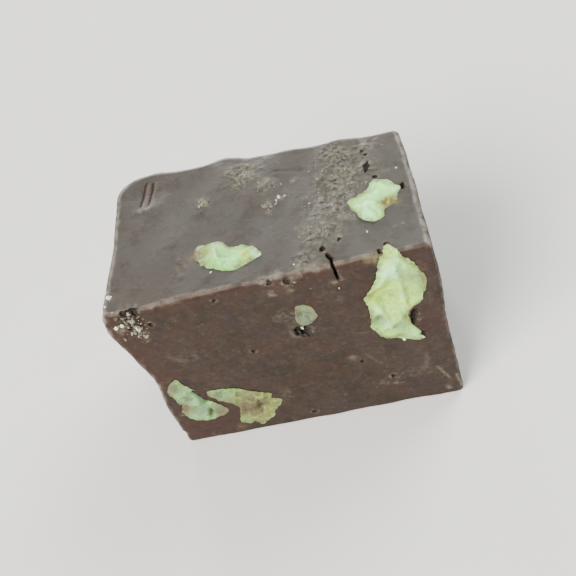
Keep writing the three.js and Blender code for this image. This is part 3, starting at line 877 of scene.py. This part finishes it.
patchy = 0.5 + field(form, 5, lead=9.0)
height = lumpy(form, CUT_LUMPS)
height += DRAG * patchy * (1 - on_ends) * field(form, DRAG_WIDTH, stretch=(9, 1, 1), lead=11.0)
height += DRAG * patchy * on_ends * field(form, DRAG_WIDTH, stretch=(1, 8, 1), lead=17.0)
height += CRUMBLE * crumbled * (field(form, 0.55, lead=23.0) + 0.4 * field(form, 1.1, lead=29.0))
ragged = field(form, 0.9, lead=31.0)
widening = np.clip(0.9 + 1.4 * ragged, 0.2, 2)
# The tan strip is a pale burr with a painted highlight, the grey strips are painted highlights
tan_edge_and_highlight = edge_strip(TAN_AND_HIGHLIGHT_EDGES, widening)
edge_highlight = edge_strip(HIGHLIGHT_EDGES, widening)
height += BURR * (tan_edge_and_highlight + 0.6 * edge_highlight) * (0.5 + ragged)
nicked = smoothstep(field(form, 1.4, lead=37.0), 0.3, 0.55)
height -= NICK * nicked * edge_strip(TAN_AND_HIGHLIGHT_EDGES + HIGHLIGHT_EDGES, 3)
pale = np.zeros(len(form))
for name, start, end, half_width, rise, strength in STREAKS:
    line = near_line(form, name, start, end, half_width)
    height += rise * line
    pale = np.maximum(pale, strength * line)

draw = random.Random(SCRAP_SEED)
scraps = list(SCRAPS)
for name, count in RANDOM_SCRAPS.items():
    across, up = FACES[name][:2]
    half = (WIDTH / 2 if across[0] else DEPTH / 2) - 1
    low, high = (1, HEIGHT - 1) if up[2] else (1 - DEPTH / 2, DEPTH / 2 - 1)
    for i in range(count):
        at = (draw.uniform(-half, half), draw.uniform(low, high))
        scraps.append((name, at, draw.uniform(*RANDOM_REACH), draw.uniform(*RANDOM_HEIGHT)))
wobble = np.clip(1 + 1.2 * field(form, 0.45, lead=43.0), 0.3, 2)
for name, at, reach, rise in scraps:
    bump = near_line(form, name, at, at, reach * wobble)
    height += rise * bump
    if rise > 0:
        pale = np.maximum(pale, min(1, rise / PALE_SCRAP) * bump)
for name, at, half in PITS:
    away, on_this_face = off_line(form, name, at, at)
    off_rim = (away - 1.05 * sum(half[:2]) / 2) / PIT_RIM_WIDTH
    rim = on_this_face * np.exp(-(off_rim**2)) * np.clip(wobble - 0.7, 0, 1)
    height += PIT_RIM * rim
    pale = np.maximum(pale, rim)

# Under each kernel's cut face the chocolate sinks away, from the kernel's wall inwards
inside = np.zeros(len(form))
outside = np.full(len(form), 2 * PAST_FACE)
rows = (form * MM).tolist()
for walls in kernel_walls:
    for i, row in enumerate(rows):
        nearest, way_out, _, distance = walls.find_nearest(row, 2 * PAST_FACE * MM)
        if nearest is None:
            continue
        if (Vector(row) - nearest).dot(way_out) < 0:
            inside[i] = distance / MM
        else:
            outside[i] = min(outside[i], distance / MM)
outside[inside > 0] = 0
height *= 1 - 0.8 * np.exp(-((outside / CALM) ** 2))
sunk = smoothstep(inside, *LIP) * (1 - smeared_at(form))
height = height * (1 - sunk) - SUNK * sunk
surface = form + coordinates(block_mesh, "normal") * height[:, None]
on_base = flat[:, 2] == 0
surface[:, 2] = np.maximum(surface[:, 2], 0)
surface[on_base, 2] = SUNK * sunk[on_base]
set_coordinates(block_mesh, surface * MM)

# Grey bloom lies on every face and mostly on the top, where a painted sheen is added, a little more towards
# the front and the right.
# Chocolate just under the top front edge is bare and red.
bloom_and_sheen = BLOOM + on_face["top"] * (BLOOM_AND_SHEEN_ON_TOP + flat[:, :2] @ PAINTED_SHEEN_PER_MM)
red = RED_UNDER_EDGE[0] * on_face["front"] * np.exp(-((under_face["top"] / RED_UNDER_EDGE[1]) ** 2))
golden = np.zeros(len(form))
for amounts, spots in ((red, REDDER), (golden, GOLDEN)):
    for name, at, reach, strength in spots:
        np.maximum(amounts, strength * near_line(form, name, at, at, reach), out=amounts)
for name, values in (
    ("tan_edge_and_highlight", tan_edge_and_highlight),
    ("edge_highlight", edge_highlight),
    ("crumbled", crumbled),
    ("pale", np.clip(pale, 0, 1)),
    ("bloom_and_sheen", bloom_and_sheen),
    ("red", red),
    ("golden", golden),
):
    add_attribute(block_mesh, name, values)
chocolate = new_piece("chocolate_block", block_mesh)

# Pits and cracks
# The pits are ragged hollows of broken, not cut, chocolate. A crack runs where the knife dragged a kernel
# along. Each large pit is a few ragged lumps and each crack a row of thin ones, all cut out of the block at
# once, and the slivers that come loose between them are dropped.
# Face, start and end across and up, width and depth of each crack
CRACKS = (
    ("top", (-12.75, 8.5), (-13.1, 5.0), 0.13, 0.08),
    ("top", (-11.9, 8.4), (-12.25, 5.0), 0.13, 0.08),
    ("top", (6.45, -7.6), (6.75, -8.4), 0.34, 0.9),
    ("top", (6.7, -8.3), (6.85, -9.7), 0.2, 0.9),
    ("front", (6.75, 25.0), (6.85, 24.0), 0.24, 0.9),
    ("front", (6.82, 24.2), (6.95, 22.7), 0.36, 0.9),
    ("right", (-5.2, 9.0), (-4.8, 11.4), 0.4, 1.1),
    ("right", (-4.75, 11.2), (-4.0, 12.4), 0.3, 0.8),
    ("back", (6.8, 5.4), (7.7, 6.7), 0.4, 0.9),
    ("back", (7.65, 6.6), (7.8, 7.8), 0.26, 0.7),
)
LARGE_PIT = 0.3  # a pit with a half size above this is cut by LUMPS lumps
LUMPS = 3
LUMP_SPREAD = 0.45  # how far they lie from its middle, as a share of its half size
RAGGED = 0.4  # how uneven a lump is, as a share of its size
LINK = 1.6  # length of one of a crack's lumps, as a share of its width
OVERLAP = 0.85  # half of that length as it is cut, so that the lumps run into each other
LARGE_LUMP = 0.55  # above this half size, a lump has a finer mesh
HOLLOW_SEED = 11
CLEAR = 3  # lumps and crumbs are dropped on to a face from this far outside it
DEEPEST = 0.6  # where the surface lies deeper than this, it is under a kernel, and a lump stays above it
hollows = bpy.data.collections.new("hollows")
bpy.context.scene.collection.children.link(hollows)
uneven_surface = surface_of(block_mesh)
draw = random.Random(HOLLOW_SEED)


def random_lead():
    """A random shift for a noise pattern."""
    return Vector((draw.uniform(0, 50), draw.uniform(0, 50), draw.uniform(0, 50)))


def add_hollow(name, at, half, turn):
    """A ragged lump to be cut out of the block, with its middle on the uneven surface."""
    out = Vector(FACES[name][2])
    place = face_matrix(name, at)
    start = place.translation + out * CLEAR * MM
    landing, _, _, distance = uneven_surface.ray_cast(start, -out)
    if landing is not None and distance < (CLEAR + DEEPEST) * MM:
        place.translation = landing
    lead = random_lead()
    hollow = bmesh.new()
    bmesh.ops.create_icosphere(hollow, subdivisions=4 if max(half) > LARGE_LUMP else 3, radius=1)
    for vertex in hollow.verts:
        ridge = noise.noise(vertex.co * 1.6 + lead) + 0.5 * noise.noise(vertex.co * 4 + lead)
        vertex.co *= 1 + RAGGED * ridge
    size = Matrix.Diagonal((*half, 1)) * MM
    size[3][3] = 1
    hollow.transform(place @ Matrix.Rotation(turn, 4, "Z") @ size)
    mesh = bpy.data.meshes.new("hollow")
    hollow.to_mesh(mesh)
    hollow.free()
    # The wall that it leaves takes the second of the block's two materials
    mesh.materials.append(None)
    mesh.materials.append(None)
    mesh.polygons.foreach_set("material_index", [1] * len(mesh.polygons))
    hollows.objects.link(bpy.data.objects.new("hollow", mesh))


def drop_slivers(mesh):
    """Leaves the largest part of a mesh alone, without the slivers that are cut loose between hollows."""
    cut = bmesh.new()
    cut.from_mesh(mesh)
    unseen = set(cut.verts)
    parts = []
    while unseen:
        part = [unseen.pop()]
        for vertex in part:
            for edge in vertex.link_edges:
                beside = edge.other_vert(vertex)
                if beside in unseen:
                    unseen.remove(beside)
                    part.append(beside)
        parts.append(part)
    parts.sort(key=len)
    bmesh.ops.delete(cut, geom=[vertex for part in parts[:-1] for vertex in part], context="VERTS")
    cut.to_mesh(mesh)
    cut.free()


for name, at, half in PITS:
    large = max(half[:2]) > LARGE_PIT
    spread = LUMP_SPREAD if large else 0
    for i in range(LUMPS if large else 1):
        spot = [at[j] + draw.uniform(-spread, spread) * half[j] for j in (0, 1)]
        lump = [side * draw.uniform(0.6, 0.9) for side in half] if large else half
        add_hollow(name, spot, lump, draw.uniform(-0.5, 0.5))
for name, start, end, width, depth in CRACKS:
    run = Vector(end) - Vector(start)
    links = max(2, round(run.length / (LINK * width)))
    for i in range(links):
        spot = Vector(start) + run * (i + 0.5) / links
        spot.x += draw.uniform(-0.08, 0.08)
        length = OVERLAP * run.length / links
        half = (length, width / 2 * draw.uniform(0.8, 1.3), depth * draw.uniform(0.7, 1.0))
        add_hollow(name, spot, half, math.atan2(run.y, run.x))

# Milk chocolate candy, set and knife-cut: satin, red-brown and mottled, with faint lines along the cut and a
# grey fat bloom, with a painted sheen over it on the top. Edges are paler, with a pale burr and painted
# highlights, scraps are paler too, and the crumbled patches are grainy and tan.
cut_chocolate, tree = new_material("milk_chocolate_knife_cut")
CHOCOLATE_LAYERS = (
    ("#352314", 3.5, 0.2, 0.8),
    ("#433225", 0.9, 0.47, 0.7, 0.6),
    ("#361d10", 2.2, 0.45, 0.7, 0.8),
    ("#2e2125", 1.7, 0.5, 0.7, 0.5),
    ("#140c0a", 0.6, 0.48, 0.7, 0.6),
    ("#36150a", 1.6, 0.1, 0.55, 0.9, "red"),
    ("#453526", 0.6, 0.45, 0.75, 0.12, None, (6, 2, 1)),
    # Grey bloom, with a painted sheen on the top
    ("#555550", 2.0, 0.0, 0.5, 1.1, "bloom_and_sheen"),
    ("#5f5648", 0.5, 0.58, 0.75, 0.3),
    ("#7b7560", 0.45, 0.42, 0.62, 0.8, "crumbled"),
    ("#18100c", 0.45, 0.42, 0.33, 0.7, "crumbled"),
    # A pale burr with a painted highlight along the top front edge, and painted highlights along the other
    # edges
    ("#6d5f4f", 0.9, 0.38, 0.56, 0.9, "tan_edge_and_highlight"),
    ("#827c6f", 1.2, 0.32, 0.56, 0.9, "edge_highlight"),
    ("#7b6f5f", 0.35, 0.32, 0.58, 0.9, "pale"),
    ("#756b49", 0.45, 0.3, 0.55, 0.9, "golden"),
)
fine_grain = {"Height": mottles(tree, 0.25), "Distance": 0.03 * MM}
crumb_grain = {"Height": mottles(tree, 0.4, follows="crumbled"), "Distance": 0.3 * MM}
crumb_grain["Normal"] = add_node(tree, "Bump", fine_grain)
surface = {
    "Base Color": coloured(tree, "#1a100a", CHOCOLATE_LAYERS),
    "Roughness": mottles(tree, 1.5, -0.9, 1.6),
    "IOR": 1.45,
    "Specular IOR Level": 0.22,
    "Normal": add_node(tree, "Bump", crumb_grain),
}
add_node(tree, "OutputMaterial", {"Surface": add_node(tree, "BsdfPrincipled", surface)})

# Broken chocolate inside the pits: rough, with coarse crystals, and dark, partly as painted shade in the pits
broken_and_shaded_chocolate, tree = new_material("milk_chocolate_broken_and_shaded")
BROKEN_LAYERS = (("#2e2219", 0.35, 0.4, 0.65), ("#5c5547", 0.25, 0.58, 0.7, 0.6))
surface = {
    "Base Color": coloured(tree, "#150e0a", BROKEN_LAYERS),
    "Roughness": 0.7,
    "IOR": 1.45,
    "Normal": add_node(tree, "Bump", {"Height": mottles(tree, 0.3), "Distance": 0.1 * MM}),
}
add_node(tree, "OutputMaterial", {"Surface": add_node(tree, "BsdfPrincipled", surface)})

block_mesh.materials.append(cut_chocolate)
block_mesh.materials.append(broken_and_shaded_chocolate)
cut_out = chocolate.modifiers.new("cut_out", "BOOLEAN")
cut_out.operation = "DIFFERENCE"
cut_out.operand_type = "COLLECTION"
cut_out.collection = hollows
cut_out.solver = "MANIFOLD"
apply_modifiers(chocolate)
drop_slivers(chocolate.data)
chocolate.data.shade_smooth()
chocolate.data.set_sharp_from_angle(angle=math.radians(50))
for hollow in list(hollows.objects):
    bpy.data.objects.remove(hollow)
bpy.data.collections.remove(hollows)
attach(chocolate, "root")
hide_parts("chocolate")

# Crumbs and chips
# Crumbs of chocolate left by the knife, and bright chips of nut and sugar crystal, which cling where the
# surface is broken: in the pitted corner and on the crumbled part of the top.
CRUMB_SEED = 21
CRUMB_SUNK = 0.3  # share of a crumb's size that is pressed into the face
LARGE_CRUMB = 0.25  # above this size, a crumb has a finer mesh
# Face, place across and up, and size of each bright chip
CHIPS = (
    ("front", (-15.7, 22.5), 0.4),
    ("front", (-15.0, 22.7), 0.44),
    ("front", (-13.7, 21.8), 0.44),
    ("front", (1.7, 15.85), 0.44),
    ("front", (11.5, 11.6), 0.44),
    ("front", (13.4, 11.4), 0.38),
    ("front", (6.75, 21.4), 0.2),
    ("top", (-15.8, -7.2), 0.46),
    ("top", (-16.2, -8.2), 0.24),
    ("top", (2.05, 1.7), 0.42),
    ("top", (1.75, 1.4), 0.22),
    ("top", (3.1, -8.0), 0.24),
    ("top", (14.3, 2.5), 0.24),
    ("top", (-5.2, -6.7), 0.26),
    ("top", (10.5, -5.7), 0.2),
)
# Face, middle across and up, spread, number and largest size of each scatter of small chips, and of crumbs
CHIP_SCATTERS = (
    ("front", (-14.0, 22.4), 0.8, 16, 0.4),
    ("front", (-13.4, 20.8), 0.6, 4, 0.2),
    ("top", (-6.1, 3.2), 0.4, 16, 0.24),
    ("top", (2.0, 1.6), 0.35, 5, 0.3),
    ("top", (0.9, 0.7), 0.4, 5, 0.28),
    ("top", (-1.0, 6.0), 0.6, 8, 0.22),
    ("top", (-3.2, 7.0), 0.4, 5, 0.2),
    ("top", (0.8, 3.8), 0.5, 6, 0.2),
    ("top", (-16.1, -7.6), 0.3, 6, 0.2),
    ("top", (7.5, -1.5), 2.6, 16, 0.2),
    ("top", (8.5, 5.0), 2.2, 12, 0.2),
)
CRUMB_SCATTERS = (
    ("front", (-14.3, 22.9), 0.8, 60, 0.36),
    ("front", (1.75, 16.2), 0.05, 2, 0.5),
    ("front", (-13.4, 20.8), 0.6, 8, 0.28),
    ("top", (-6.1, 3.2), 0.4, 22, 0.28),
    ("top", (0.8, 0.7), 0.4, 8, 0.4),
    ("top", (8.0, -0.6), 2.2, 60, 0.28),
    ("top", (8.8, 4.8), 2.0, 46, 0.28),
    ("top", (5.6, -5.6), 1.2, 26, 0.26),
    ("top", (-1.8, 6.0), 1.6, 18, 0.26),
    ("top", (0, 0), 9, 22, 0.2),
    ("front", (0.6, 24.3), 0.6, 6, 0.3),
    ("front", (2.6, 24.4), 0.9, 10, 0.36),
)
OFF_ENDS = 0.1  # scattered crumbs lie this far in from the ends of a face, and between these heights up it
CRUMBS_BETWEEN = {"front": (0.3, HEIGHT - 0.1), "top": (0.5 - DEPTH / 2, DEPTH / 2 - 0.8)}
chocolate_surface = surface_of(chocolate.data)
draw = random.Random(CRUMB_SEED)


def add_crumb(crumbs, name, at, size):
    """Adds one broken crumb to a bmesh, dropped on to a face from outside."""
    out = Vector(FACES[name][2])
    start = face_matrix(name, at).translation + out * CLEAR * MM
    landing, _, _, _ = chocolate_surface.ray_cast(start, -out)
    if landing is None:
        return
    lead = random_lead()
    subdivisions = 2 if size > LARGE_CRUMB else 1
    shape = bmesh.ops.create_icosphere(crumbs, subdivisions=subdivisions, radius=size / 2 * MM)
    turned = Quaternion(lead.normalized(), draw.uniform(0, math.tau)).to_matrix()
    stretch = Vector((draw.uniform(0.9, 1.8), draw.uniform(0.6, 1.1), draw.uniform(0.5, 0.9)))
    for vertex in shape["verts"]:
        way = vertex.co.normalized()
        vertex.co *= (1 + 0.5 * noise.noise(way * 1.6 + lead)) * draw.uniform(0.7, 1.2)
        vertex.co = turned @ (vertex.co * stretch) + landing + out * size * (0.5 - CRUMB_SUNK) * MM


def scatter(crumbs, scatters):
    """Adds crumbs at random round the middle of each scatter, where they fall on the face."""
    for name, middle, spread, count, largest in scatters:
        low, high = CRUMBS_BETWEEN[name]
        for i in range(count):
            at = (draw.gauss(middle[0], spread), draw.gauss(middle[1], spread))
            if abs(at[0]) < WIDTH / 2 - OFF_ENDS and low < at[1] < high:
                add_crumb(crumbs, name, at, largest * draw.uniform(0.5, 1) ** 1.5)


def crumb_piece(crumbs, name, material, bright=0):
    """Turns the crumbs into one piece. bright is how many of its vertices, from the first, are bright."""
    mesh = bpy.data.meshes.new(name)
    crumbs.to_mesh(mesh)
    crumbs.free()
    add_attribute(mesh, "bright", np.arange(len(mesh.vertices)) < bright)
    mesh.materials.append(material)
    piece = new_piece(name, mesh)
    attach(piece, "root")


# Crumbs of the same chocolate: matt, and paler than the cut face, as all their sides are broken
crumb_chocolate, tree = new_material("milk_chocolate_crumb")
surface = {
    "Base Color": coloured(tree, "#4e483b", (("#85806a", 0.9, 0.4, 0.6),)),
    "Roughness": 0.7,
    "Normal": add_node(tree, "Bump", {"Height": mottles(tree, 0.2), "Distance": 0.03 * MM}),
}
add_node(tree, "OutputMaterial", {"Surface": add_node(tree, "BsdfPrincipled", surface)})

# Nut flesh and sugar crystal, broken: glossy, and nearly white in the largest chips, partly sugar crystal and
# partly a painted glint
chip, tree = new_material("nut_and_sugar_chip")
surface = {
    "Base Color": coloured(tree, "#9d9a84", (("#dbe6cd", 0.5, 0.0, 0.3, 1.0, "bright"),)),
    "Roughness": 0.3,
    "Normal": add_node(tree, "Bump", {"Height": mottles(tree, 0.2), "Distance": 0.02 * MM}),
}
add_node(tree, "OutputMaterial", {"Surface": add_node(tree, "BsdfPrincipled", surface)})

crumbs = bmesh.new()
scatter(crumbs, CRUMB_SCATTERS)
crumb_piece(crumbs, "crumbs_of_chocolate", crumb_chocolate)
chips = bmesh.new()
for name, at, size in CHIPS:
    add_crumb(chips, name, at, size)
# The chips listed first are the near-white ones, partly a painted glint
bright = len(chips.verts)
scatter(chips, CHIP_SCATTERS)
crumb_piece(chips, "chips_of_nut_and_sugar", chip, bright)

# Floor, light and camera
# A plain pale floor, a large soft light above in front, a weaker one above behind, and a low one at the back.
# The camera stands where the photograph was taken from.
FLOOR_REACH = 0.6  # metres
floor = bmesh.new()
bmesh.ops.create_grid(floor, x_segments=1, y_segments=1, size=FLOOR_REACH)
floor_mesh = bpy.data.meshes.new("floor")
floor.to_mesh(floor_mesh)
floor.free()
# Uncoated card: matt, pale and nearly even
card, tree = new_material("pale_card_floor")
surface = {"Base Color": coloured(tree, "#dddad5", (("#e4e1dc", 12),)), "Roughness": 0.85}
add_node(tree, "OutputMaterial", {"Surface": add_node(tree, "BsdfPrincipled", surface)})
floor_mesh.materials.append(card)
new_piece("floor", floor_mesh)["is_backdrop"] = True

# Name, place and side in metres, watts and colour
LIGHTS = (
    ("light_front_above", (-0.26, -0.36, 0.44), 0.34, 9.1, (1.0, 0.99, 0.96)),
    ("light_behind", (0.26, 0.28, 0.34), 0.30, 2.7, (0.95, 0.98, 1.0)),
    ("light_rear", (-0.12, 0.5, 0.06), 0.12, 2.9, (1.0, 0.99, 0.97)),
)
LIT = Vector((0, 0, HEIGHT / 2 * MM))  # the lights are aimed at the middle of the block
for name, spot, side, watts, colour in LIGHTS:
    light = bpy.data.lights.new(name, "AREA")
    light.size = side
    light.energy = watts
    light.color = colour
    lamp = bpy.data.objects.new(name, light)
    lamp.location = spot
    lamp.rotation_euler = (LIT - lamp.location).to_track_quat("-Z", "Y").to_euler()
    bpy.context.scene.collection.objects.link(lamp)

ROOM_COLOUR = (0.9, 0.95, 1.0, 1)
ROOM_STRENGTH = 0.455
world = bpy.data.worlds.new("studio")
world.use_nodes = True
background = world.node_tree.nodes["Background"]
background.inputs["Color"].default_value = ROOM_COLOUR
background.inputs["Strength"].default_value = ROOM_STRENGTH
bpy.context.scene.world = world

CAMERA_PLACE = Vector((16.7, -70.0, 89.8)) * MM
AIM = Vector((0, 0, 12.3)) * MM
ROLL = -21.7  # degrees, as the block lies tilted in the view
FOCAL_PIXELS = 950
FRAME_PIXELS = 576
camera = bpy.data.cameras.new("camera")
camera.sensor_width = 36
camera.lens = camera.sensor_width * FOCAL_PIXELS / FRAME_PIXELS
camera.clip_start = 0.005
camera_object = bpy.data.objects.new("camera", camera)
camera_object.location = CAMERA_PLACE
camera_object.rotation_mode = "QUATERNION"
towards = (AIM - CAMERA_PLACE).to_track_quat("-Z", "Y")
camera_object.rotation_quaternion = towards @ Quaternion((0, 0, 1), math.radians(ROLL))
bpy.context.scene.collection.objects.link(camera_object)
bpy.context.scene.camera = camera_object

size = {"cad": [list(corner) for corner in cad_bounds], "visual": [list(corner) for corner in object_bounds()]}
